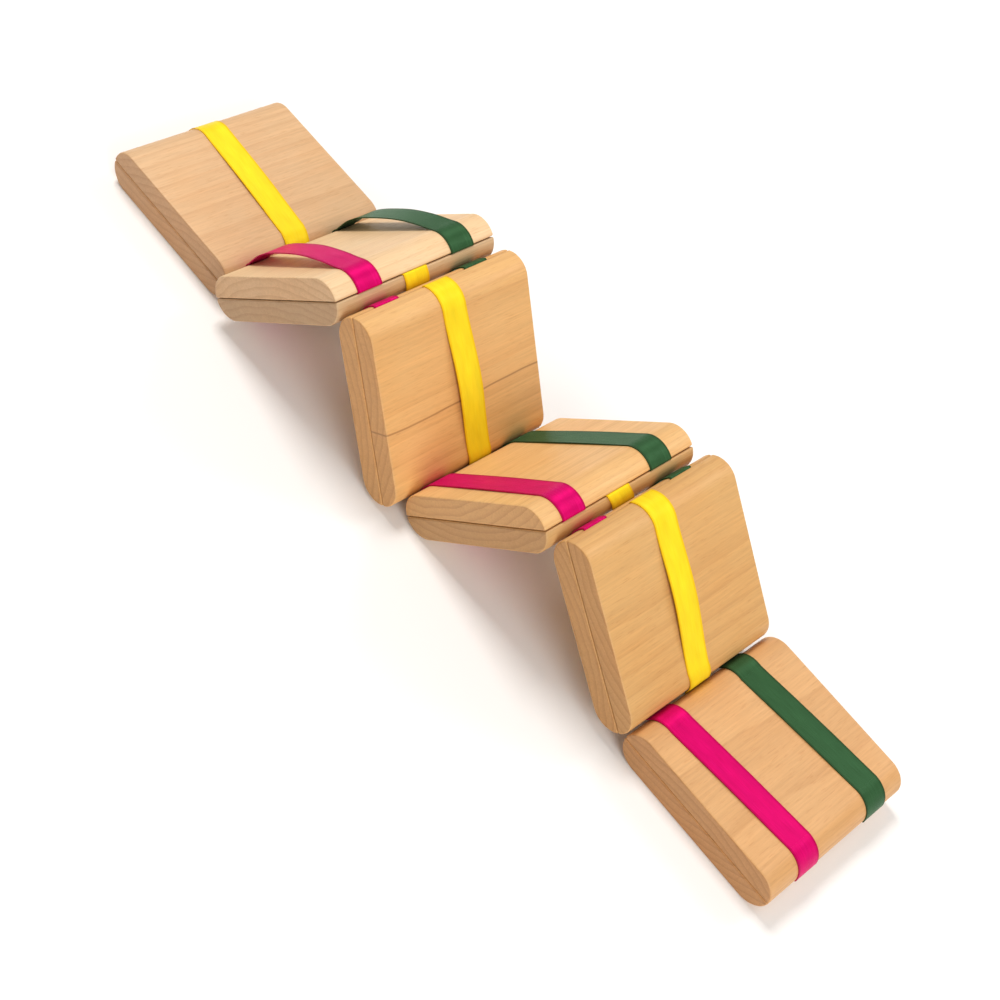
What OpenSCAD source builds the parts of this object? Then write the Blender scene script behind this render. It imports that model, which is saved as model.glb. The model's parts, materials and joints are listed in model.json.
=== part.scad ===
// Jacob's ladder: a chain of six tumbling wooden blocks, each hinged to the next by three ribbons.
// It rests in a W on a flat surface: the end blocks lie flat, and blocks 2 to 5 lean as two tents.
// +X runs along the chain from block 1 to block 6, +Y along the hinge lines, and +Z is up.

/* [Block] */
// Length of one block, along the chain
block_length = 60; // [50:1:80]
// Width of one block, along its hinge lines
block_width = 64; // [60:1:80]
// Thickness of each of the two glued plates
plate_thickness = 7.15; // [5:0.05:8]

/* [Ribbon] */
// Width of each ribbon
ribbon_width = 9.3; // [6:0.1:12]
// Thickness of each ribbon
ribbon_thickness = 0.3; // [0.2:0.05:0.4]
// Distance between neighbouring ribbons, centre to centre
ribbon_spacing = 17; // [14:0.5:20]
// How far each ribbon is tucked into a glued seam
tuck_depth = 8; // [5:1:15]
// How far the two slack outer ribbons arch above block 2
slack_arch = 4; // [2:0.5:8]

/* [Hinge] */
// Gap between the rounded ends of two neighbouring blocks
hinge_gap = 1; // [0.8:0.1:1.4]

/* [Rest pose] */
// Angle at which block 2 leans up from the floor
lean_2 = 45.5; // [35:0.5:50]
// Angle at which block 4 leans up from the floor
lean_4 = 48; // [35:0.5:50]
// Sideways place of blocks 1 to 6 along their hinge lines
sideways = [0, -5.5, -4.5, 0, 3, 4.5]; // [-6:0.5:6]

/* [Hidden] */
$fn = 96;
blocks = 6;
hinges = blocks - 1;
seam_height = ribbon_thickness;
block_thickness = 2 * plate_thickness + seam_height;
end_radius = block_thickness / 2;
core_length = block_length - 2 * end_radius;
// The ribbons run midway in the gap, so this is both their bend radius and the rolling radius.
pitch_radius = end_radius + hinge_gap / 2;
centre_distance = 2 * pitch_radius;
film_inset = 1;
// The slack arches stop this far short of the bends that they meet.
arch_clearance = 0.4;
// A bend lies midway between its two blocks, so its tuck can be this far off its block's own line.
largest_skew = max([for (n = [1:hinges]) abs(sideways[n] - sideways[n - 1])]) / 2;
// A bend's tuck is this much thinner than the seam on either side.
tuck_clearance = 0.01;
// Straight pieces that make up each arc of a bend.
bend_steps = 12;
ribbon_y = [block_width / 2, block_width / 2 - ribbon_spacing, block_width / 2 + ribbon_spacing];
YELLOW = 0;
MAGENTA = 1;
GREEN = 2;
RIBBONS = ["yellow", "magenta", "green"];
RIBBON_COLOURS = ["gold", "deeppink", "darkolivegreen"];

// Unit vector in the XZ plane, at an angle from +X towards +Z.
function heading(angle) = [cos(angle), sin(angle)];

// Height of the lower of two end centres over a flat block's, where a tail meets the next head.
function foot_height(start, before, lean, after) =
    start + centre_distance * sin((before + lean) / 2) + core_length * sin(lean)
    + min(0, centre_distance * sin((lean + after) / 2));

// The downward lean that brings that foot down to a height, found by halving the interval.
function settled_lean(start, before, after, height, low = -89, high = 0, steps = 40) =
    let (middle = (low + high) / 2)
    steps == 0 ? middle
    : foot_height(start, before, middle, after) > height
        ? settled_lean(start, before, after, height, low, middle, steps - 1)
        : settled_lean(start, before, after, height, middle, high, steps - 1);

// Blocks 3 and 4 stand on the ribbons that pass round their feet, and block 6 on bare wood.
ribbon_foot = (hinge_gap + ribbon_thickness) / 2;
apex_23 = centre_distance * sin(lean_2 / 2) + core_length * sin(lean_2);
lean_3 = settled_lean(apex_23, lean_2, lean_4, ribbon_foot);
valley_34 = apex_23 + centre_distance * sin((lean_2 + lean_3) / 2) + core_length * sin(lean_3)
    + centre_distance * sin((lean_3 + lean_4) / 2);
apex_45 = valley_34 + core_length * sin(lean_4);
lean_5 = settled_lean(apex_45, lean_4, 0, 0);
leans = [0, lean_2, lean_3, lean_4, lean_5, 0];

// Lean of block n, and of the line of centres from block n to the next one.
function lean(n) = leans[n - 1];
function link_lean(n) = (lean(n) + lean(n + 1)) / 2;

// Centres of block n's rounded ends, as [x, z] from block 1's head on the floor.
function head_centre(n) =
    n == 1 ? [end_radius, end_radius]
    : tail_centre(n - 1) + centre_distance * heading(link_lean(n - 1));
function tail_centre(n) = head_centre(n) + core_length * heading(lean(n));

// The origin is under the middle of the whole chain.
chain_length = tail_centre(blocks)[0] + end_radius;
middle_y = (min(sideways) + max(sideways) + block_width) / 2;

// The side of the chain to which hinge n folds, and so the faces its ribbons run over: +1 is up.
function fold_side(n) = n % 2 == 1 ? 1 : -1;

// Whether a ribbon of hinge n runs over block n, from its head. If not, it runs over block n + 1, to
// its tail. In odd hinges the first is the yellow one, and in even hinges it is the outer two.
function runs_first(n, which) = (n % 2 == 1) == (which == YELLOW);

// Whether block n has a ribbon tucked into its head seam, or else into its tail seam.
function tucked_at_head(n, which) =
    (n > 1 && runs_first(n - 1, which)) || (n < blocks && runs_first(n, which));
function tucked_at_tail(n, which) =
    (n > 1 && !runs_first(n - 1, which)) || (n < blocks && !runs_first(n, which));

// Places a shape from the chain's own frame, whose origin is block 1's lower head corner.
module in_chain() {
    translate([-chain_length / 2, -middle_y, 0]) children();
}

// Places a shape from block n's own frame: x from its head, y across, z from its seam plane.
module on_block(n) {
    centre = head_centre(n);
    in_chain()
        translate([centre[0], sideways[n - 1], centre[1]])
            rotate([0, -lean(n), 0])
                translate([-end_radius, 0, 0])
                    children();
}

// A piece of ribbon bent about a Y axis through [x, z], from one angle to another.
module ribbon_arc(centre, radius, from, to) {
    start = min(from, to);
    translate([centre[0], 0, centre[1]])
        rotate([90, -start, 0])
            rotate_extrude(angle = abs(to - from))
                translate([radius - ribbon_thickness / 2, -ribbon_width / 2])
                    square([ribbon_thickness, ribbon_width]);
}

// A flat ribbon lying in x and y, from x = start to x = stop, its middle at height z.
module ribbon_strip(start, stop, z) {
    translate([start, -ribbon_width / 2, z - ribbon_thickness / 2])
        cube([stop - start, ribbon_width, ribbon_thickness]);
}

// The whole block outline: a slab with both ends fully rounded.
module block_solid() {
    for (x = [end_radius, block_length - end_radius])
        translate([x, block_width, 0])
            rotate([90, 0, 0])
                cylinder(r = end_radius, h = block_width);
    translate([end_radius, 0, -end_radius])
        cube([core_length, block_width, block_thickness]);
}

// One of a block's two plates: side +1 is the upper one, -1 the lower one.
module plate(n, side) {
    color("burlywood")
        on_block(n)
            intersection() {
                block_solid();
                translate([-1, -1, side > 0 ? seam_height / 2 : -end_radius - 1])
                    cube([block_length + 2, block_width + 2, plate_thickness + 1]);
            }
}

// The space that a ribbon's tuck takes in the seam, at the head.
module tuck_space(which) {
    width = ribbon_width + 2 * largest_skew;
    translate([0, ribbon_y[which] - width / 2, -seam_height])
        cube([tuck_depth, width, 2 * seam_height]);
}

// The glue between the plates, set back from every edge and cut out round the ribbon ends.
module glue_film(n) {
    color("tan")
        on_block(n)
            difference() {
                translate([film_inset, film_inset, -seam_height / 2])
                    cube([block_length - 2 * film_inset, block_width - 2 * film_inset, seam_height]);
                for (which = [YELLOW, MAGENTA, GREEN]) {
                    if (tucked_at_head(n, which))
                        tuck_space(which);
                    if (tucked_at_tail(n, which))
                        end_for_end(true) tuck_space(which);
                }
            }
}

// The stretch over a face, seen from the end where it is tucked in: out of the seam, round the
// rounded end and along the face to the other end centre.
module covering(side, slack) {
    ribbon_strip(-(hinge_gap + ribbon_thickness) / 2, tuck_depth, 0);
    ribbon_arc([end_radius, 0], pitch_radius, 180 - side * 90, 180);
    if (slack == 0)
        ribbon_strip(end_radius, block_length - end_radius, side * pitch_radius);
}

// The slack stretch over a face, a shallow arch from one end centre to the other.
module arched_run(rise) {
    half_chord = core_length / 2 - arch_clearance;
    radius = (half_chord * half_chord + rise * rise) / (2 * rise);
    half_angle = asin(half_chord / radius);
    ribbon_arc([block_length / 2, pitch_radius + rise - radius], radius, 90 - half_angle, 90 + half_angle);
}

// Turns a shape end for end, so that what was made for the head is at the tail.
module end_for_end(turned) {
    if (turned)
        translate([block_length, 0, 0]) mirror([1, 0, 0]) children();
    else
        children();
}

// The part of a ribbon of hinge n that stays with the block it runs over.
module run(n, which) {
    first = runs_first(n, which);
    slack = n == 1 && !first ? slack_arch : 0;
    color(RIBBON_COLOURS[which])
        on_block(first ? n : n + 1)
            translate([0, ribbon_y[which], 0]) {
                end_for_end(!first) covering(fold_side(n), slack);
                if (slack > 0)
                    arched_run(slack);
            }
}

// Points on an arc about a centre in the XZ plane; skip leaves out that many at its start.
function arc_points(centre, radius, from, to, skip = 0) =
    [for (i = [skip:bend_steps]) centre + radius * heading(from + (to - from) * i / bend_steps)];

function reversed(points) = [for (i = [len(points) - 1:-1:0]) points[i]];
function without_first(points) = [for (i = [1:len(points) - 1]) points[i]];

// One edge line of a bend's S shape in hinge n, offset from the ribbon's middle. What is outside on
// the first rounded end is inside on the second, because the ribbon crosses over at the nip.
function bend_edge(n, from, to, offset) =
    let (nip = link_lean(n))
    concat(
        arc_points(tail_centre(n), pitch_radius + offset, from, nip),
        arc_points(head_centre(n + 1), pitch_radius - offset, nip + 180, to, 1)
    );

// A point at a distance from a centre along an angle, and off to the side of that line.
function beside(centre, angle, along, off) =
    centre + along * heading(angle) + off * heading(angle + 90);

// Corners of the tuck in the seam that opens at this angle, from a bend's outer edge to its inner
// edge. The bend comes in from the side of the positive offset.
function tuck_corners(centre, angle, off) =
    [
        beside(centre, angle, pitch_radius + ribbon_thickness / 2, -off),
        beside(centre, angle, end_radius - tuck_depth, -off),
        beside(centre, angle, end_radius - tuck_depth, off),
        beside(centre, angle, pitch_radius - ribbon_thickness / 2, off)
    ];

// Outline of a bend that comes off block n's face and ends in the head seam of the next block.
function bend_to_seam(n, half) =
    let (from = lean(n) + fold_side(n) * 90)
    let (to = lean(n + 1) + 180)
    concat(
        bend_edge(n, from, to, -half),
        tuck_corners(head_centre(n + 1), to, -fold_side(n) * (half - tuck_clearance)),
        without_first(reversed(bend_edge(n, from, to, half)))
    );

// Outline of a bend that starts in block n's tail seam and goes on to the next block's face.
function bend_from_seam(n, half) =
    let (from = lean(n))
    let (to = lean(n + 1) + 180 - fold_side(n) * 90)
    concat(
        reversed(bend_edge(n, from, to, half)),
        tuck_corners(tail_centre(n), from, fold_side(n) * (half - tuck_clearance)),
        without_first(bend_edge(n, from, to, -half))
    );

// The free bend of a ribbon in hinge n, round one rounded end to the nip and then round the other,
// with the tuck at its seam end.
module bend(n, which) {
    middle_sideways = (sideways[n - 1] + sideways[n]) / 2;
    half = ribbon_thickness / 2;
    color(RIBBON_COLOURS[which])
        in_chain()
            translate([0, middle_sideways + ribbon_y[which] + ribbon_width / 2, 0])
                rotate([90, 0, 0])
                    linear_extrude(height = ribbon_width)
                        polygon(runs_first(n, which) ? bend_to_seam(n, half) : bend_from_seam(n, half));
}

for (n = [1:blocks]) {
    plate(n, 1);
    plate(n, -1);
    glue_film(n);
}
for (which = [YELLOW, MAGENTA, GREEN]) {
    for (n = [1:hinges]) {
        run(n, which);
        bend(n, which);
    }
}
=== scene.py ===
import json
import math
import random
from types import SimpleNamespace

import bmesh
import bpy
from mathutils import Matrix, Vector, noise


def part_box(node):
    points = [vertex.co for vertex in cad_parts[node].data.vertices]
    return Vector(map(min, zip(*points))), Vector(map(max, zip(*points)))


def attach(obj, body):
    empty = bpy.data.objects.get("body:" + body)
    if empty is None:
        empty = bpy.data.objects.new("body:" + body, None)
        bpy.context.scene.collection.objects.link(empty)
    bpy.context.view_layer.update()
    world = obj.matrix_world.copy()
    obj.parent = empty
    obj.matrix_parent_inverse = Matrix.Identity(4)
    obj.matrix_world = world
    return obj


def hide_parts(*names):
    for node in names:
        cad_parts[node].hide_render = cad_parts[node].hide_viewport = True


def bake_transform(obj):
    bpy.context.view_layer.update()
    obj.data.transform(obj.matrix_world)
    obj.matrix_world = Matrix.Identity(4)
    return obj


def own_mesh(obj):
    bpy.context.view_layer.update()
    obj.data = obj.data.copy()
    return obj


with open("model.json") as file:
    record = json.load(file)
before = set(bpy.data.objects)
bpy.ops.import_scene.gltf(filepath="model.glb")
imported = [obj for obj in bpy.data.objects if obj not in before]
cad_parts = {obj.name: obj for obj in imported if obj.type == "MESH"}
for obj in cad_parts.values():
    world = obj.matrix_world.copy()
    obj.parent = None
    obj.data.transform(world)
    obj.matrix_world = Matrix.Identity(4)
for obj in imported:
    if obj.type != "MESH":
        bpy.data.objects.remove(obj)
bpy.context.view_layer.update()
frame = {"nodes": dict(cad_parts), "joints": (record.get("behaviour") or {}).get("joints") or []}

MM = 0.001
BLOCKS = 6

# ---------------------------------------------------------------- camera, light and floor

CAMERA_PLACE = (153.1 * MM, -325.0 * MM, 407.0 * MM)
CAMERA_TURN = (37.07, -19.58, 47.71)
LENS = 63.0
SENSOR_WIDTH = 36.0
CLIP_START, CLIP_END = 0.01, 20.0

# Round soft lights: where each one is, how high over the origin it aims, its width across in
# metres, its power in watts, and its colour.
LIGHTS = {
    "key": ((-0.78, 0.08, 1.30), 0.02, 0.50, 14.0, (1.0, 0.985, 0.96)),
    "back": ((0.25, 0.95, 0.95), 0.02, 0.60, 4.0, (1.0, 0.99, 0.98)),
    "fill": ((1.25, -0.55, 0.80), 0.03, 0.90, 13.0, (1.0, 0.98, 0.95)),
}
STUDIO_COLOUR = (1.0, 0.985, 0.965, 1.0)
STUDIO_STRENGTH = 0.38

FLOOR_HALF_SIZE = 12.0
FLOOR_COLOUR = (0.93, 0.92, 0.91, 1.0)


def put_in_scene(thing):
    bpy.context.scene.collection.objects.link(thing)


def set_inputs(node, values):
    for name, value in values.items():
        node.inputs[name].default_value = value


def set_camera():
    data = bpy.data.cameras.new("camera")
    data.lens = LENS
    data.sensor_width = SENSOR_WIDTH
    data.clip_start = CLIP_START
    data.clip_end = CLIP_END
    camera = bpy.data.objects.new("camera", data)
    camera.location = CAMERA_PLACE
    camera.rotation_euler = [math.radians(a) for a in CAMERA_TURN]
    put_in_scene(camera)
    bpy.context.scene.camera = camera


def set_light():
    world = bpy.data.worlds.new("studio")
    world.use_nodes = True
    background = world.node_tree.nodes["Background"]
    set_inputs(background, {"Color": STUDIO_COLOUR, "Strength": STUDIO_STRENGTH})
    bpy.context.scene.world = world
    for name, (place, aim_height, size, power, colour) in LIGHTS.items():
        data = bpy.data.lights.new(name, "AREA")
        data.shape = "DISK"
        data.size = size
        data.energy = power
        data.color = colour
        lamp = bpy.data.objects.new(name, data)
        lamp.location = place
        ray = Vector((0.0, 0.0, aim_height)) - Vector(place)
        lamp.rotation_euler = ray.to_track_quat("-Z", "Y").to_euler()
        put_in_scene(lamp)


def set_display():
    """Shows the colours plainly, without a film-like curve."""
    bpy.context.scene.view_settings.view_transform = "Standard"
    bpy.context.scene.view_settings.look = "None"


def set_floor():
    size = FLOOR_HALF_SIZE
    corners = [(-size, -size, 0), (size, -size, 0), (size, size, 0), (-size, size, 0)]
    mesh = bpy.data.meshes.new("floor")
    mesh.from_pydata(corners, [], [(0, 1, 2, 3)])
    floor = bpy.data.objects.new("floor", mesh)
    put_in_scene(floor)
    graph = Graph("pale_floor")
    set_inputs(
        graph.shader, {"Base Color": FLOOR_COLOUR, "Roughness": 0.9, "Specular IOR Level": 0.1}
    )
    mesh.materials.append(graph.material)


# ---------------------------------------------------------------- materials

# Places of the colour sockets on a Mix node.
MIX_FACTOR, MIX_FIRST, MIX_SECOND, MIX_RESULT = 0, 6, 7, 2


def srgb(r, g, b):
    """A colour given in 0 to 255 display values, as linear light."""
    out = []
    for c in (r, g, b):
        c /= 255.0
        out.append(c / 12.92 if c <= 0.04045 else ((c + 0.055) / 1.055) ** 2.4)
    return (*out, 1.0)


class Graph:
    """The nodes of one new material, with short ways to add to them."""

    def __init__(self, name):
        self.material = bpy.data.materials.new(name)
        self.material.use_nodes = True
        self.nodes = self.material.node_tree.nodes
        self.shader = self.nodes["Principled BSDF"]

    def link(self, source, socket):
        self.material.node_tree.links.new(source, socket)

    def give(self, socket, value):
        """Links a socket to another one, or sets it to a number or a colour."""
        if isinstance(value, bpy.types.NodeSocket):
            self.link(value, socket)
        else:
            socket.default_value = value

    def add(self, kind, inputs=None, **settings):
        node = self.nodes.new(f"ShaderNode{kind}")
        for name, value in settings.items():
            setattr(node, name, value)
        set_inputs(node, inputs or {})
        return node

    def mapped(self, source, scale=(1, 1, 1), turn=(0, 0, 0), shift=(0, 0, 0)):
        node = self.add("Mapping", {"Scale": scale, "Rotation": turn, "Location": shift})
        self.link(source, node.inputs["Vector"])
        return node.outputs["Vector"]

    def parts(self, vector):
        node = self.add("SeparateXYZ")
        self.link(vector, node.inputs["Vector"])
        return node.outputs

    def noise(self, vector, scale, detail=3.0, roughness=0.55):
        node = self.add("TexNoise", {"Scale": scale, "Detail": detail, "Roughness": roughness})
        self.link(vector, node.inputs["Vector"])
        return node.outputs["Fac"]

    def ramp(self, source, *stops):
        """Each stop is a place and a colour, or a place and a grey."""
        node = self.add("ValToRGB")
        elements = node.color_ramp.elements
        while len(elements) < len(stops):
            elements.new(0.5)
        for element, (place, colour) in zip(elements, stops):
            element.position = place
            element.color = colour if isinstance(colour, tuple) else (colour, colour, colour, 1.0)
        self.link(source, node.inputs["Fac"])
        return node.outputs["Color"]

    def mix(self, first, second, factor, kind="MIX"):
        node = self.add("Mix", data_type="RGBA", blend_type=kind)
        self.give(node.inputs[MIX_FACTOR], factor)
        self.give(node.inputs[MIX_FIRST], first)
        self.give(node.inputs[MIX_SECOND], second)
        return node.outputs[MIX_RESULT]

    def tinted(self, colour, share, tint, *stops):
        """A colour multiplied by a tint, or by a ramp over it where there are stops."""
        if stops:
            tint = self.ramp(tint, *stops)
        return self.mix(colour, tint, share, "MULTIPLY")

    def maths(self, kind, first, second=None):
        node = self.add("Math", operation=kind)
        self.give(node.inputs[0], first)
        if second is not None:
            self.give(node.inputs[1], second)
        return node.outputs[0]

    def product(self, first, second):
        return self.maths("MULTIPLY", first, second)

    def wave(self, distance, pitch):
        return self.maths("SINE", self.product(distance, 2 * math.pi / pitch))

    def map_range(self, source, start, stop, at_start=0.0, at_stop=1.0):
        node = self.add(
            "MapRange",
            {"From Min": start, "From Max": stop, "To Min": at_start, "To Max": at_stop},
        )
        self.link(source, node.inputs["Value"])
        return node.outputs["Result"]

    def bump(self, height, strength, distance):
        node = self.add("Bump", {"Strength": strength, "Distance": distance})
        self.link(height, node.inputs["Height"])
        self.link(node.outputs["Normal"], self.shader.inputs["Normal"])


# Growth rings, and how much of the dark tone they bring in: on the faces and on the end grain.
RINGS = {
    "Scale": 125.0, "Distortion": 3.2, "Detail": 2.0, "Detail Scale": 0.7, "Detail Roughness": 0.5
}
RING_STOPS = [(0.0, 0.10), (0.55, 0.22), (0.86, 0.75), (0.97, 1.0), (1.0, 0.1)]
RING_SHARE = 0.34
END_RING_SHARE = 0.5
# How little each pattern changes along the grain, beside how much it changes across it.
RING_STRETCH = 0.12
FIBRE_STRETCH = 0.035
PORE_STRETCH = 0.09
# Tints of the pores, of the slow changes in tone, of the end grain and of the handled edges.
PORE_TINT = (0.90, 0.84, 0.77, 1.0)
WARM_TINT, COOL_TINT = (1.0, 0.93, 0.84, 1.0), (1.0, 1.02, 1.04, 1.0)
END_LIGHT_TINT, END_DARK_TINT = (0.80, 0.72, 0.66, 1.0), (0.75, 0.70, 0.66, 1.0)
EDGE_TINT = (0.86, 0.80, 0.74, 1.0)
# A face that looks along the grain by more than this is end grain.
END_GRAIN_LIMIT = 0.75
# The dark growth line: its colour, how far it wanders, and half its width where it is full and
# where it has faded out, in metres.
VEIN_COLOUR = (140, 88, 44)
VEIN_WANDER = 0.006
VEIN_FULL, VEIN_GONE = 0.00012, 0.00042
VEIN_STRENGTH = 0.62


def wood_material(name, seed, light, dark, turn, origin, pith, vein=None):
    """Sanded softwood whose grain runs along Y, in the block's own frame. A vein is the place of
    one dark growth line along the block."""
    graph = Graph(name)
    chance = random.Random(seed)
    shift = [chance.uniform(-3, 3) for _ in range(3)]
    coordinates = graph.add("TexCoord").outputs
    moved = -(Matrix.Rotation(turn, 3, "Y") @ Vector(origin))
    own = graph.mapped(coordinates["Object"], turn=(0, turn, 0), shift=moved)
    # the rings go round a pith line that runs along Y, well outside the block
    bent = graph.mapped(own, scale=(1, RING_STRETCH, 1), shift=(-pith[0], shift[0], -pith[1]))
    rings = graph.add(
        "TexWave", RINGS, wave_type="RINGS", rings_direction="Y", wave_profile="SAW"
    )
    graph.link(bent, rings.inputs["Vector"])
    ring_tone = graph.ramp(rings.outputs["Fac"], *RING_STOPS)
    fibre_space = graph.mapped(own, scale=(1, FIBRE_STRETCH, 1), shift=(shift[1], shift[2], 0.3))
    fibres = graph.noise(fibre_space, scale=1500.0, detail=5.0, roughness=0.62)
    streaks = graph.noise(fibre_space, scale=260.0, detail=4.0, roughness=0.6)
    pore_space = graph.mapped(own, scale=(1, PORE_STRETCH, 1), shift=(shift[2], shift[0], 0.7))
    pores = graph.noise(pore_space, scale=2700.0, detail=2.0, roughness=0.5)
    cloud = graph.noise(graph.mapped(own, shift=shift), scale=38.0, detail=2.0, roughness=0.5)
    base = graph.mix(light, dark, graph.product(ring_tone, RING_SHARE))
    base = graph.tinted(base, 0.42, streaks, (0.30, 0.88), (0.72, 1.05))
    base = graph.tinted(base, 0.68, fibres, (0.34, 0.88), (0.66, 1.06))
    base = graph.tinted(base, 0.9, pores, (0.58, 1.0), (0.72, PORE_TINT))
    base = graph.tinted(base, 0.8, cloud, (0.30, WARM_TINT), (0.72, COOL_TINT))
    if vein is not None:
        wander = graph.noise(graph.mapped(own, scale=(0, 1, 0)), scale=16.0, detail=2.0)
        place = graph.maths("ADD", graph.parts(own)["X"], graph.product(wander, VEIN_WANDER))
        gap = graph.maths("ABSOLUTE", graph.maths("SUBTRACT", place, vein))
        line = graph.map_range(gap, VEIN_FULL, VEIN_GONE, VEIN_STRENGTH, 0.0)
        base = graph.mix(base, srgb(*VEIN_COLOUR), line)
    # the two sides across the grain drink in more light and show the rings more
    along_grain = graph.maths("ABSOLUTE", graph.parts(coordinates["Normal"])["Y"])
    end_grain = graph.maths("GREATER_THAN", along_grain, END_GRAIN_LIMIT)
    end_tone = graph.mix(
        graph.tinted(base, 1.0, END_LIGHT_TINT),
        graph.tinted(dark, 1.0, END_DARK_TINT),
        graph.product(ring_tone, END_RING_SHARE),
    )
    colour = graph.mix(base, end_tone, end_grain)
    # handled edges are a little darker
    pointiness = graph.add("NewGeometry").outputs["Pointiness"]
    edge = graph.ramp(pointiness, (0.50, 0.0), (0.58, 1.0))
    worn = graph.tinted(colour, graph.product(edge, 0.5), EDGE_TINT)
    graph.link(worn, graph.shader.inputs["Base Color"])
    roughness = graph.ramp(fibres, (0.3, 0.56), (0.7, 0.42))
    graph.link(roughness, graph.shader.inputs["Roughness"])
    set_inputs(graph.shader, {"Specular IOR Level": 0.5})
    relief = graph.maths("ADD", fibres, graph.product(rings.outputs["Fac"], 0.4))
    height = graph.maths("SUBTRACT", relief, graph.product(pores, 0.8))
    graph.bump(height, strength=0.30, distance=0.1 * MM)
    return graph.material


def glue_material():
    graph = Graph("dried_glue")
    lumps = graph.noise(graph.add("TexCoord").outputs["Object"], scale=700.0)
    colour = graph.ramp(lumps, (0.35, srgb(70, 40, 22)), (0.65, srgb(104, 66, 38)))
    graph.link(colour, graph.shader.inputs["Base Color"])
    graph.link(graph.ramp(lumps, (0.3, 0.7), (0.7, 0.45)), graph.shader.inputs["Roughness"])
    graph.bump(lumps, strength=0.4, distance=0.1 * MM)
    return graph.material


# The satin's weave, in millimetres: warp threads across the ribbon, weft steps and selvedge ribs
# along it, and how far the weft steps move along the ribbon for each millimetre across it.
WARP_PITCH = 0.16
WEFT_PITCH = 0.55
RIB_PITCH = 0.35
WEFT_SLANT = 2.4
# The selvedge is full this near to the ribbon's edge, and gone this far from it.
SELVEDGE_FULL, SELVEDGE_GONE = 0.45, 0.75


def satin_material(name, base, bright, edge, gleam, metallic, width):
    """Woven satin: fine warp floats along the ribbon, weft steps across, and a tighter selvedge.
    Its UV map holds millimetres across the ribbon and along it."""
    graph = Graph(name)
    uv = graph.add("UVMap", uv_map="weave").outputs["UV"]
    places = graph.parts(uv)
    across, along = places["X"], places["Y"]
    warp = graph.wave(across, WARP_PITCH)
    slanted = graph.maths("ADD", along, graph.product(across, WEFT_SLANT))
    weft = graph.wave(slanted, WEFT_PITCH)
    rib = graph.wave(along, RIB_PITCH)
    from_middle = graph.maths("ABSOLUTE", graph.maths("SUBTRACT", across, width / 2))
    from_edge = graph.maths("SUBTRACT", width / 2, from_middle)
    selvedge_and_edge_shade = graph.map_range(from_edge, SELVEDGE_GONE, SELVEDGE_FULL)
    # threads that differ a little in tone, drawn out along the ribbon
    threads = graph.noise(
        graph.mapped(uv, scale=(5.0, 0.09, 1.0)), scale=1.4, detail=4.0, roughness=0.65
    )
    patches = graph.noise(graph.mapped(uv, scale=(0.3, 0.08, 1.0)), scale=1.0, detail=2.0)
    colour = graph.mix(base, bright, graph.ramp(threads, (0.28, 0.0), (0.75, 0.75)))
    colour = graph.tinted(colour, 0.8, patches, (0.3, 0.88), (0.7, 1.06))
    # the band along both edges is drawn darker: partly the selvedge's own tone, partly painted shade
    # along the ribbon's edges
    colour = graph.mix(colour, edge, graph.product(selvedge_and_edge_shade, 0.55))
    graph.link(colour, graph.shader.inputs["Base Color"])
    graph.link(graph.ramp(threads, (0.3, 0.40), (0.7, 0.30)), graph.shader.inputs["Roughness"])
    # the threads run along the ribbon, so its gleam spreads across it
    tangent = graph.add("Tangent", direction_type="UV_MAP", uv_map="weave")
    graph.link(tangent.outputs["Tangent"], graph.shader.inputs["Tangent"])
    set_inputs(
        graph.shader,
        {
            "Anisotropic": 0.85,
            "Metallic": metallic,
            "Specular IOR Level": 0.12,
            "Specular Tint": gleam,
            "Sheen Weight": 0.03,
            "Sheen Roughness": 0.35,
            "Sheen Tint": gleam,
        },
    )
    weave = graph.maths("ADD", graph.product(warp, 0.5), graph.product(weft, 0.35))
    ribbing = graph.product(selvedge_and_edge_shade, graph.product(rib, 0.9))
    graph.bump(graph.maths("ADD", weave, ribbing), strength=0.30, distance=0.04 * MM)


# ---------------------------------------------------------------- where everything is

joints = {joint["name"]: joint for joint in frame["joints"]}


def hinge_name(k):
    return f"{k}{k + 1}"


def flat(point):
    """The X and Z of a point, as a plane vector."""
    return Vector((point[0], point[2]))


def heading(angle):
    return Vector((math.cos(angle), math.sin(angle)))


def lean_of(span):
    return math.atan2(span.y, span.x)


plate_low, plate_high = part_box("block_1_upper_plate")
RADIUS = plate_high.z / 2

# The centres of each block's rounded ends, its side that is nearest the camera, and its lean.
tail = {k: flat(joints[f"fold_{hinge_name(k)}"]["pos_m"]) for k in range(1, BLOCKS)}
head = {k + 1: flat(joints[f"roll_{hinge_name(k)}"]["pos_m"]) for k in range(1, BLOCKS)}
head[1] = Vector((plate_low.x + RADIUS, RADIUS))
tail[BLOCKS] = Vector((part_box(f"block_{BLOCKS}_upper_plate")[1].x - RADIUS, RADIUS))
near = {k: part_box(f"block_{k}_upper_plate")[0].y for k in range(1, BLOCKS + 1)}
lean = {k: lean_of(tail[k] - head[k]) for k in range(1, BLOCKS + 1)}
# The lean of the line of centres through each hinge.
link = {k: lean_of(head[k + 1] - tail[k]) for k in range(1, BLOCKS)}
CORE = (tail[BLOCKS] - head[BLOCKS]).length
PITCH = (head[2] - tail[1]).length / 2

# ---------------------------------------------------------------- ribbons

# In millimetres.
RIBBON_WIDTH = 9.3
RIBBON_THICKNESS = 0.26
SELVEDGE_THICKNESS = 0.34
# The share of a ribbon's half width where its thicker selvedge starts.
SELVEDGE_START = 0.92
# Pieces that a ribbon is divided into: across it, along a face, and along each kind of bend.
ACROSS = 12
FACE_PIECES = 34
BEND_PIECES = 14
SLACK_BEND_PIECES = 28
HEAD_END_PIECES = 16
TAIL_END_PIECES = 20
SHARP_ANGLE = 50

# How far the middle of a ribbon that lies on the wood is above it.
HUG = 0.20 * MM
TUCK = 7.6 * MM
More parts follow.
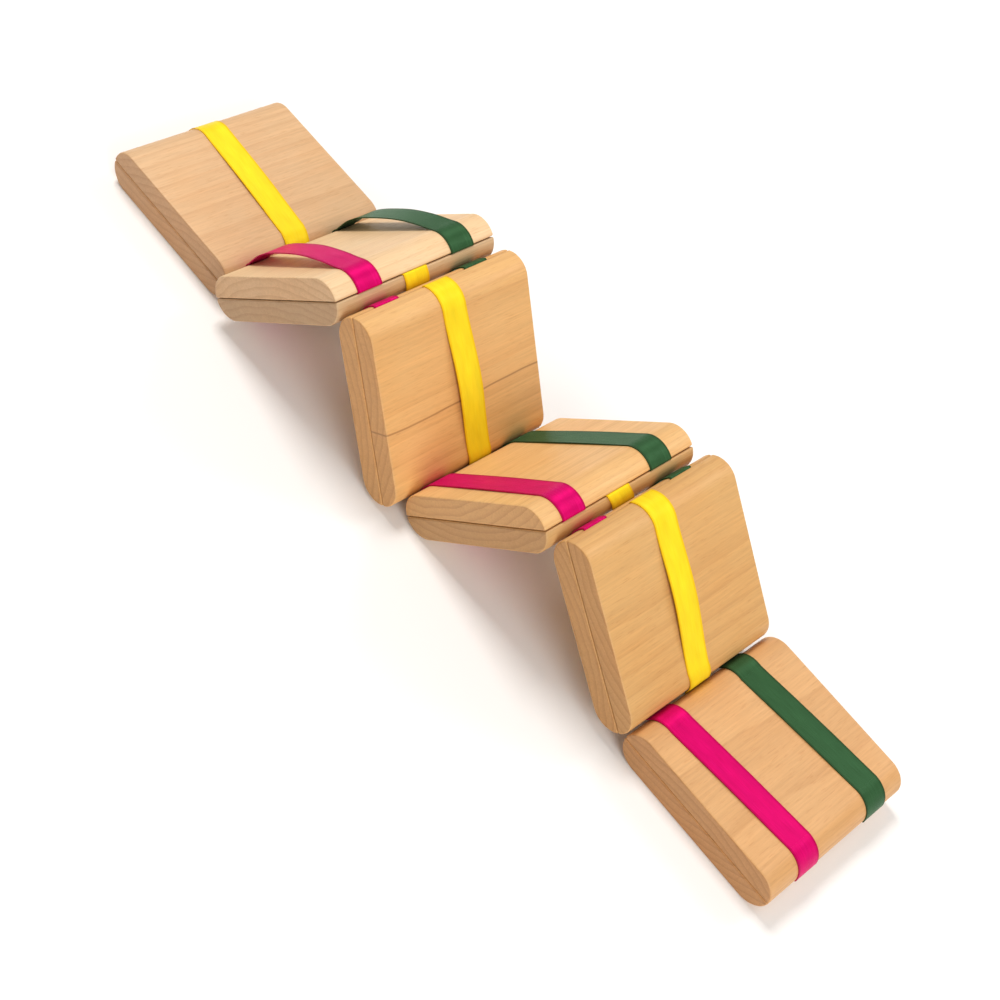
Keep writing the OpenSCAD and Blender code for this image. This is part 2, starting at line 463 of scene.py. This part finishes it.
# The way out of a seam: how far past the block's end, and how far to the side.
SEAM_PATH = [
    (-TUCK, 0.0),
    (-0.6 * TUCK, 0.0),
    (-0.3 * TUCK, 0.0),
    (-0.7 * MM, 0.0),
    (0.02 * MM, 0.03 * MM),
    (0.8 * HUG, 0.22 * MM),
]

# Where each colour lies across its block, in millimetres from the block's near side.
LINES = {"magenta": 15.0, "yellow": 32.0, "green": 49.0}
# The same for each ribbon that lies off its colour's line: at the head end and at the tail end of
# the face it runs over.
RUN_LINES = {
    ("yellow", 1): (33.4, 30.2),
    ("magenta", 1): (15.0, 13.0),
    ("green", 1): (50.8, 50.4),
    ("yellow", 3): (32.4, 34.5),
    ("magenta", 3): (11.8, 11.6),
    ("green", 3): (47.0, 49.0),
    ("yellow", 5): (31.4, 29.8),
    ("magenta", 5): (12.8, 17.2),
    ("green", 5): (45.4, 50.2),
}
# The same at the seam where the other end of the ribbon is tucked in.
TUCK_LINES = {
    ("yellow", 2): 30.6,
    ("magenta", 2): 13.5,
    ("green", 2): 49.7,
    ("yellow", 4): 30.0,
    ("magenta", 4): 12.2,
    ("green", 4): 49.4,
}
# How far each stretch bows off its face in the middle, in millimetres.
BOWS = {("yellow", 1): 0.35, ("yellow", 3): 1.3, ("yellow", 5): 1.2}
SMALL_BOW = 0.15
# A stretch that bows more than this gets a mesh of its own.
LARGE_BOW = 0.8
# The two slack stretches over block 2: share of the way along the face, and millimetres above the
# resting line.
ARCH = [
    (0.0, 0.5), (0.06, 1.6), (0.14, 2.85), (0.26, 3.7),
    (0.42, 3.9), (0.62, 3.45), (0.84, 1.95), (1.0, 0.2),
]
# How much a stretch over a face ripples, in millimetres, and how quickly the ripple changes: along
# the ribbon, across it, and from one ribbon to the next.
RIPPLE, SLACK_RIPPLE = 0.12, 0.35
RIPPLE_ALONG, RIPPLE_ACROSS, RIPPLE_STEP = 90, 0.9, 7.3

REST = RADIUS + HUG
# How high the arch starts, and how steeply it climbs there and comes down at its end.
OPENING = ARCH[0][1] * MM
RISE = (ARCH[1][1] - ARCH[0][1]) * MM / (ARCH[1][0] * CORE)
FALL = (ARCH[-2][1] - ARCH[-1][1]) * MM / ((1 - ARCH[-2][0]) * CORE)


def runs_first(k, colour):
    """Whether a ribbon of hinge k runs over block k. If not, it runs over block k + 1."""
    return (k % 2 == 1) == (colour == "yellow")


def smooth(t):
    return t * t * (3 - 2 * t)


def curve_through(points, t):
    """Height at t on a smooth curve through (t, height) points."""
    for i in range(len(points) - 1):
        if t <= points[i + 1][0] or i == len(points) - 2:
            break
    slopes = []
    for j in (i, i + 1):
        before, after = points[max(j - 1, 0)], points[min(j + 1, len(points) - 1)]
        slopes.append((after[1] - before[1]) / (after[0] - before[0]))
    (t0, h0), (t1, h1) = points[i], points[i + 1]
    width = t1 - t0
    s = (t - t0) / width
    return (
        h0 * (1 + 2 * s) * (1 - s) ** 2
        + slopes[0] * width * s * (1 - s) ** 2
        + h1 * s * s * (3 - 2 * s)
        + slopes[1] * width * s * s * (s - 1)
    )


def arc(centre, start, stop, radius_at, pieces):
    """Points round a centre from one angle to another; radius_at takes 0 to 1 along the arc."""
    out = []
    for i in range(pieces + 1):
        t = i / pieces
        out.append(centre + radius_at(t) * heading(start + (stop - start) * t))
    return out


def tuck_points(centre, angle, side):
    """From deep in a seam out to its mouth; side is the way the ribbon turns, +1 to the left."""
    along, left = heading(angle), heading(angle + math.pi / 2)
    return [
        centre + (RADIUS + past) * along + side * aside * left for past, aside in SEAM_PATH
    ]


def spread(start, stop, path):
    """Sideways places along a path, from start to stop by length."""
    reach = [0.0]
    for a, b in zip(path, path[1:]):
        reach.append(reach[-1] + (b - a).length)
    return [start + (stop - start) * (r / reach[-1]) for r in reach]


def strip_rows(path, lines, travelled, seed, ripple):
    """The points round each section of a ribbon, their places in its weave, and how far along the
    whole ribbon it ends."""
    width = RIBBON_WIDTH * MM
    rounds = [(1, j) for j in range(ACROSS + 1)] + [(-1, j) for j in range(ACROSS, -1, -1)]
    vertices, weave = [], []
    for i, point in enumerate(path):
        before, after = path[max(i - 1, 0)], path[min(i + 1, len(path) - 1)]
        along = (after - before).normalized()
        normal = Vector((-along.y, along.x))
        if i:
            travelled += (point - path[i - 1]).length
        # the ripple fades out towards both ends
        ends = min(1.0, 4 * min(i, len(path) - 1 - i) / len(path))
        for side, j in rounds:
            share = j / ACROSS
            place = 2 * share - 1
            rim = abs(place) > SELVEDGE_START
            thickness = (SELVEDGE_THICKNESS if rim else RIBBON_THICKNESS) * MM
            lift = 0.0
            if ripple:
                where = (travelled * RIPPLE_ALONG, place * RIPPLE_ACROSS, seed * RIPPLE_STEP)
                lift = ripple * (0.5 + 0.5 * noise.noise(Vector(where))) * ends
            spot = point + (lift + side * thickness / 2) * normal
            vertices.append((spot.x, lines[i] + place * width / 2, spot.y))
            weave.append((share * RIBBON_WIDTH, travelled / MM))
    return vertices, weave, travelled


def strip_faces(sections):
    """Quads between the sections of a ribbon, and across both its ends."""
    ring = 2 * (ACROSS + 1)
    faces = []
    for i in range(sections - 1):
        for j in range(ring):
            k = (j + 1) % ring
            faces.append((i * ring + j, (i + 1) * ring + j, (i + 1) * ring + k, i * ring + k))
    for start, flip in ((0, False), ((sections - 1) * ring, True)):
        for j in range(ACROSS):
            quad = (start + j, start + j + 1, start + ring - 2 - j, start + ring - 1 - j)
            faces.append(tuple(reversed(quad)) if flip else quad)
    return faces


def face_outward(mesh):
    """Turns the faces outward where the strip was built the other way round."""
    work = bmesh.new()
    work.from_mesh(mesh)
    bmesh.ops.recalc_face_normals(work, faces=work.faces)
    work.to_mesh(mesh)
    work.free()


def cloth_strip(name, path, lines, metres, colour, seed, ripple):
    """A ribbon along path, a list of (x, z) points, with its middle at lines[i] across.
    metres is how far along the whole ribbon the path starts. Returns the object, and how far along
    it ends."""
    vertices, weave, travelled = strip_rows(path, lines, metres, seed, ripple)
    mesh = bpy.data.meshes.new(name)
    mesh.from_pydata(vertices, [], strip_faces(len(path)))
    layer = mesh.uv_layers.new(name="weave")
    for loop in mesh.loops:
        layer.data[loop.index].uv = weave[loop.vertex_index]
    mesh.validate()
    mesh.polygons.foreach_set("use_smooth", [True] * len(mesh.polygons))
    mesh.set_sharp_from_angle(angle=math.radians(SHARP_ANGLE))
    mesh.materials.append(bpy.data.materials[f"woven_{colour}"])
    strip = bpy.data.objects.new(name, mesh)
    put_in_scene(strip)
    face_outward(mesh)
    return strip, travelled


def route_of(k, colour):
    """What the stretches of one ribbon of hinge k have in common. Its home is the block whose face
    it runs over, and up is the way off that face. It leaves block k's rounded end at the angle
    a_start, and comes to lie on block k + 1's at b_stop."""
    first = runs_first(k, colour)
    home = k if first else k + 1
    side = 1 if k % 2 == 1 else -1
    quarter = side * math.pi / 2
    run_head, run_tail = RUN_LINES.get((colour, k), (LINES[colour], LINES[colour]))
    return SimpleNamespace(
        k=k,
        first=first,
        home=home,
        side=side,
        quarter=quarter,
        nip=link[k],
        up=side * heading(lean[home] + math.pi / 2),
        arched=k == 1 and not first,
        bow=BOWS.get((colour, k), SMALL_BOW),
        run_head=run_head * MM,
        run_tail=run_tail * MM,
        tuck_line=TUCK_LINES.get((colour, k), LINES[colour]) * MM,
        a_start=lean[k] + (quarter if first else 0.0),
        b_stop=lean[k + 1] + math.pi - (0.0 if first else quarter),
    )


def face_stretch(route):
    """Over the face, from the head's centre to the tail's."""
    axis = heading(lean[route.home])
    path = []
    for i in range(FACE_PIECES + 1):
        t = i / FACE_PIECES
        if route.arched:
            height = curve_through(ARCH, t) * MM
        else:
            height = route.bow * MM * math.sin(math.pi * t) ** 2
        path.append(head[route.home] + CORE * t * axis + (REST + height) * route.up)
    lines = [near[route.home] + y for y in spread(route.run_head, route.run_tail, path)]
    return path, lines


def into_nip(t):
    """Distance from the tail's centre, from where the ribbon leaves its rounding to the nip."""
    return REST + (PITCH - REST) * smooth(t)


def out_of_nip(t):
    """Distance from the head's centre, from the nip to where the ribbon meets its rounding."""
    return PITCH + (REST - PITCH) * smooth(t)


def up_to_arch(angle):
    """The same for a slack ribbon, which climbs to its arch over the last share of that angle."""
    climb = REST + OPENING - PITCH
    share = min(1.0, 2 * climb / (RISE * (PITCH * angle)))
    return lambda t: PITCH + climb * (max(0.0, t - 1 + share) / share) ** 2


def bend_stretches(route):
    """From block k's rounded end to the nip, and from the nip on to block k + 1's."""
    k, nip = route.k, route.nip
    if route.first:
        y_start, y_stop = near[k] + route.run_tail, near[k + 1] + route.tuck_line
    else:
        y_start, y_stop = near[k] + route.tuck_line, near[k + 1] + route.run_head
    y_nip = (y_start + y_stop) / 2
    distance, pieces = out_of_nip, BEND_PIECES
    if route.arched:
        distance, pieces = up_to_arch(abs(route.b_stop - nip - math.pi)), SLACK_BEND_PIECES
    path_a = arc(tail[k], route.a_start, nip, into_nip, BEND_PIECES)
    path_b = arc(head[k + 1], nip + math.pi, route.b_stop, distance, pieces)
    if route.first:
        mouth = tuck_points(head[k + 1], route.b_stop, -route.side)
        lines_a = spread(y_start, y_nip, path_a)
        lines_b = spread(y_nip, y_stop, path_b[:-1]) + [y_stop] * len(mouth)
        path_b = path_b[:-1] + mouth[::-1]
    else:
        mouth = tuck_points(tail[k], route.a_start, route.side)
        lines_a = [y_start] * len(mouth) + spread(y_start, y_nip, path_a[1:])
        lines_b = spread(y_nip, y_stop, path_b)
        path_a = mouth + path_a[1:]
    return (path_a, lines_a), (path_b, lines_b)


def end_stretch(route):
    """Round the far end of the block that the ribbon runs over, and tucked into its seam."""
    home, side = route.home, route.side
    if route.first:
        out = lean[home] + math.pi
        bend = arc(head[home], out, out - route.quarter, lambda t: REST, HEAD_END_PIECES)
        path = tuck_points(head[home], out, -side) + bend[1:]
        line = near[home] + route.run_head
    else:
        out = lean[home]
        # a slack ribbon comes down onto the rounding only some way round it
        leave = math.atan(FALL) if route.arched else 0.0
        bend = arc(
            tail[home], out + route.quarter, out,
            lambda t: REST / math.cos(max(0.0, leave - t * math.pi / 2)), TAIL_END_PIECES,
        )
        path = bend[:-1] + tuck_points(tail[home], out, side)[::-1]
        line = near[home] + route.run_tail
    return path, [line] * len(path)


def blend_into_hinge(strip):
    """Bakes the placement of the bend before the nip into its mesh."""
    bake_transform(strip)


def blend_out_of_hinge(strip):
    """Bakes the placement of the bend after the nip into its mesh."""
    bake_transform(strip)


def flatten_with_hinge(strip):
    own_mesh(strip)


def build_ribbon(k, colour):
    """All four stretches of one ribbon of hinge k, in order along the chain."""
    route = route_of(k, colour)
    kl = hinge_name(k)
    seed = 10 * k + list(LINES).index(colour)
    bend_a, bend_b = bend_stretches(route)
    bends = [("bend_a", bend_a), ("bend_b", bend_b)]
    run, end = ("run", face_stretch(route)), ("end", end_stretch(route))
    metres = 0.0
    for part, (path, lines) in [end, run, *bends] if route.first else [*bends, run, end]:
        ripple = 0.0
        if part == "run":
            ripple = (SLACK_RIPPLE if route.arched else RIPPLE) * MM
        strip, metres = cloth_strip(
            f"{colour}_{part}_{kl}_satin", path, lines, metres, colour, seed, ripple
        )
        if part == "end":
            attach(strip, f"block_{route.home}")
        elif part == "run":
            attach(strip, f"block_{route.home}")
            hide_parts(f"{colour}_run_{kl}")
            if route.arched or route.bow > LARGE_BOW:
                flatten_with_hinge(strip)
        elif part == "bend_a":
            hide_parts(f"{colour}_bend_{kl}")
            blend_into_hinge(strip)
        else:
            blend_out_of_hinge(strip)


# ---------------------------------------------------------------- blocks

# Light and dark tones of each block's wood.
WOODS = {
    1: (srgb(224, 183, 138), srgb(200, 150, 102)),
    2: (srgb(240, 205, 160), srgb(216, 170, 122)),
    3: (srgb(231, 182, 118), srgb(203, 146, 84)),
    4: (srgb(236, 190, 128), srgb(210, 156, 96)),
    5: (srgb(220, 172, 109), srgb(193, 138, 77)),
    6: (srgb(219, 169, 113), srgb(189, 134, 78)),
}
# The share of its tone that the wood of the lower plates of blocks 2 and 4 keeps: partly their own
# darker wood, partly painted shade for their rounded ends in the narrow gap beside the next block.
LOWER_WOOD_AND_PAINTED_SHADE = {2: 0.74, 4: 0.80}
# A dark growth line across one face, measured along the block from its head's centre, in metres.
VEINS = {(3, "upper"): 0.031}
# Where the pith may be from a block's head centre, in metres: along the block, and up or down.
PITH_ALONG = (-0.01, 0.055)
PITH_AWAY = (0.045, 0.09)
# Radius of the sanded edges.
EDGE_ROUND = 0.6 * MM


def finish_plate(node, material):
    mesh = node.data
    if "custom_normal" in mesh.attributes:
        mesh.attributes.remove(mesh.attributes["custom_normal"])
    mesh.polygons.foreach_set("use_smooth", [True] * len(mesh.polygons))
    mesh.materials.clear()
    mesh.materials.append(material)
    # the bevel needs whole faces, where the CAD model comes in triangles
    weld = node.modifiers.new("weld", "WELD")
    weld.merge_threshold = 1e-6
    flatten = node.modifiers.new("whole_faces", "DECIMATE")
    flatten.decimate_type = "DISSOLVE"
    flatten.angle_limit = math.radians(1)
    bevel = node.modifiers.new("sanded_edges", "BEVEL")
    bevel.width = EDGE_ROUND
    bevel.segments = 3
    bevel.limit_method = "ANGLE"
    bevel.angle_limit = math.radians(40)
    bevel.use_clamp_overlap = False
    bevel.harden_normals = True


def build_blocks():
    glue = glue_material()
    for k in range(1, BLOCKS + 1):
        origin = (head[k].x, near[k], head[k].y)
        for which in ("upper", "lower"):
            seed = 20 * k + (which == "lower")
            chance = random.Random(seed)
            pith = (chance.uniform(*PITH_ALONG), chance.choice((-1, 1)) * chance.uniform(*PITH_AWAY))
            # the lower plates of blocks 2 and 4 are darkened, partly for darker wood and partly as
            # painted shade for the gap at their rounded ends
            wood_and_painted_shade = LOWER_WOOD_AND_PAINTED_SHADE.get(k, 1.0) if which == "lower" else 1.0
            tones = [(*(wood_and_painted_shade * c for c in tone[:3]), 1.0) for tone in WOODS[k]]
            material = wood_material(
                f"wood_{k}_{which}", seed, *tones, lean[k], origin, pith, VEINS.get((k, which))
            )
            finish_plate(frame["nodes"][f"block_{k}_{which}_plate"], material)
        film = frame["nodes"][f"block_{k}_glue_film"]
        film.data.materials.clear()
        film.data.materials.append(glue)


# ---------------------------------------------------------------- the scene

# Each satin's usual tone, its bright threads, its darker edge colour (the selvedge's own tone with
# painted shade along the edges), the colour of its gleam, and how metallic it is.
SATINS = {
    "magenta": (srgb(206, 6, 88), srgb(234, 18, 128), srgb(158, 6, 54), (1.0, 0.10, 0.70, 1.0), 0.22),
    "yellow": (srgb(248, 210, 24), srgb(253, 232, 56), srgb(230, 172, 14), (1.0, 0.95, 0.30, 1.0), 0.04),
    "green": (srgb(46, 78, 46), srgb(62, 106, 68), srgb(34, 56, 28), (0.55, 1.0, 0.70, 1.0), 0.18),
}

set_camera()
set_light()
set_display()
set_floor()
for colour, looks in SATINS.items():
    satin_material(f"woven_{colour}", *looks, RIBBON_WIDTH)
build_blocks()
for k in range(1, BLOCKS):
    for colour in LINES:
        build_ribbon(k, colour)
